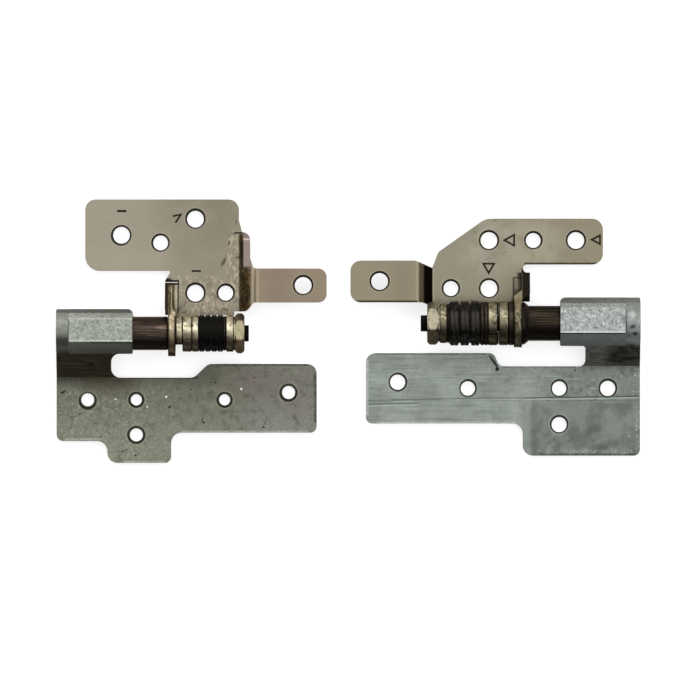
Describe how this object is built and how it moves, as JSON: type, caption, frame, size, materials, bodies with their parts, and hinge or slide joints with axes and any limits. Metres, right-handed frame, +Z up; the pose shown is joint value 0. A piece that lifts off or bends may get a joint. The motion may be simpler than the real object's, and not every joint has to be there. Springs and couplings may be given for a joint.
{
  "type": "laptop hinge pair",
  "caption": "Left and right friction hinges of a laptop lid: cast base bracket, shaft with disc springs, and folded screen bracket with screw holes.",
  "frame": {"origin": "on the surface that both hinges lie on, under the middle of the pair's box", "axes": "+X along both shafts, from the left hinge to the right one; +Y from the base brackets to the screen brackets; +Z up"},
  "size_m": [0.108, 0.0488, 0.0091],
  "materials": {
    "left_zinc": "cast, tumbled, dull grey with an olive tint and faint stains",
    "right_zinc": "cast, tumbled, bluish grey, mottled, with a bright raised flat",
    "nickel_sheet": "nickel-plated sheet, warm grey, half gloss",
    "washer_nickel": "nickel-plated, greased, scuffed",
    "nut_nickel": "nickel-plated with a yellow cast",
    "shaft_brown": "heat-darkened and oiled, brown-black, half gloss",
    "washer_dark": "heat-darkened, brown-black",
    "spring_black": "phosphated and oiled, black"
  },
  "bodies": {
    "bases": {"left_base_bracket": "left_zinc", "left_shaft": "shaft_brown", "left_stop_washer": "washer_nickel", "left_notched_washer": "washer_nickel", "left_thrust_washer": "washer_nickel", "left_disc_spring_1": "spring_black", "left_disc_spring_2": "spring_black", "left_disc_spring_3": "spring_black", "left_disc_spring_4": "spring_black", "left_disc_spring_5": "spring_black", "left_disc_spring_6": "spring_black", "left_disc_spring_7": "spring_black", "left_disc_spring_8": "spring_black", "left_thin_washer": "washer_dark", "left_pressure_washer": "washer_nickel", "left_nut": "nut_nickel", "right_base_bracket": "right_zinc", "right_shaft": "shaft_brown", "right_sliding_cam": "washer_nickel", "right_dark_washer_1": "washer_dark", "right_dark_washer_2": "washer_dark", "right_disc_spring_1": "spring_black", "right_disc_spring_2": "spring_black", "right_disc_spring_3": "spring_black", "right_disc_spring_4": "spring_black", "right_disc_spring_5": "spring_black", "right_disc_spring_6": "spring_black", "right_thin_washer": "washer_dark", "right_pressure_washer": "washer_nickel", "right_nut": "nut_nickel"},
    "left_screen": {"left_screen_bracket": "nickel_sheet"},
    "right_screen": {"right_screen_bracket": "nickel_sheet", "right_ear_washer": "washer_dark", "right_turning_cam": "washer_nickel"}
  },
  "joints": [
    {"name": "left_fold", "type": "hinge", "parent": "bases", "child": "left_screen", "pos_m": [-0.03268, -0.0004, 0.0047], "axis": [1, 0, 0], "range_deg": [0, 180]},
    {"name": "right_fold", "type": "hinge", "parent": "bases", "child": "right_screen", "pos_m": [0.0314, 0.00145, 0.0047], "axis": [1, 0, 0], "range_deg": [0, 180]}
  ]
}
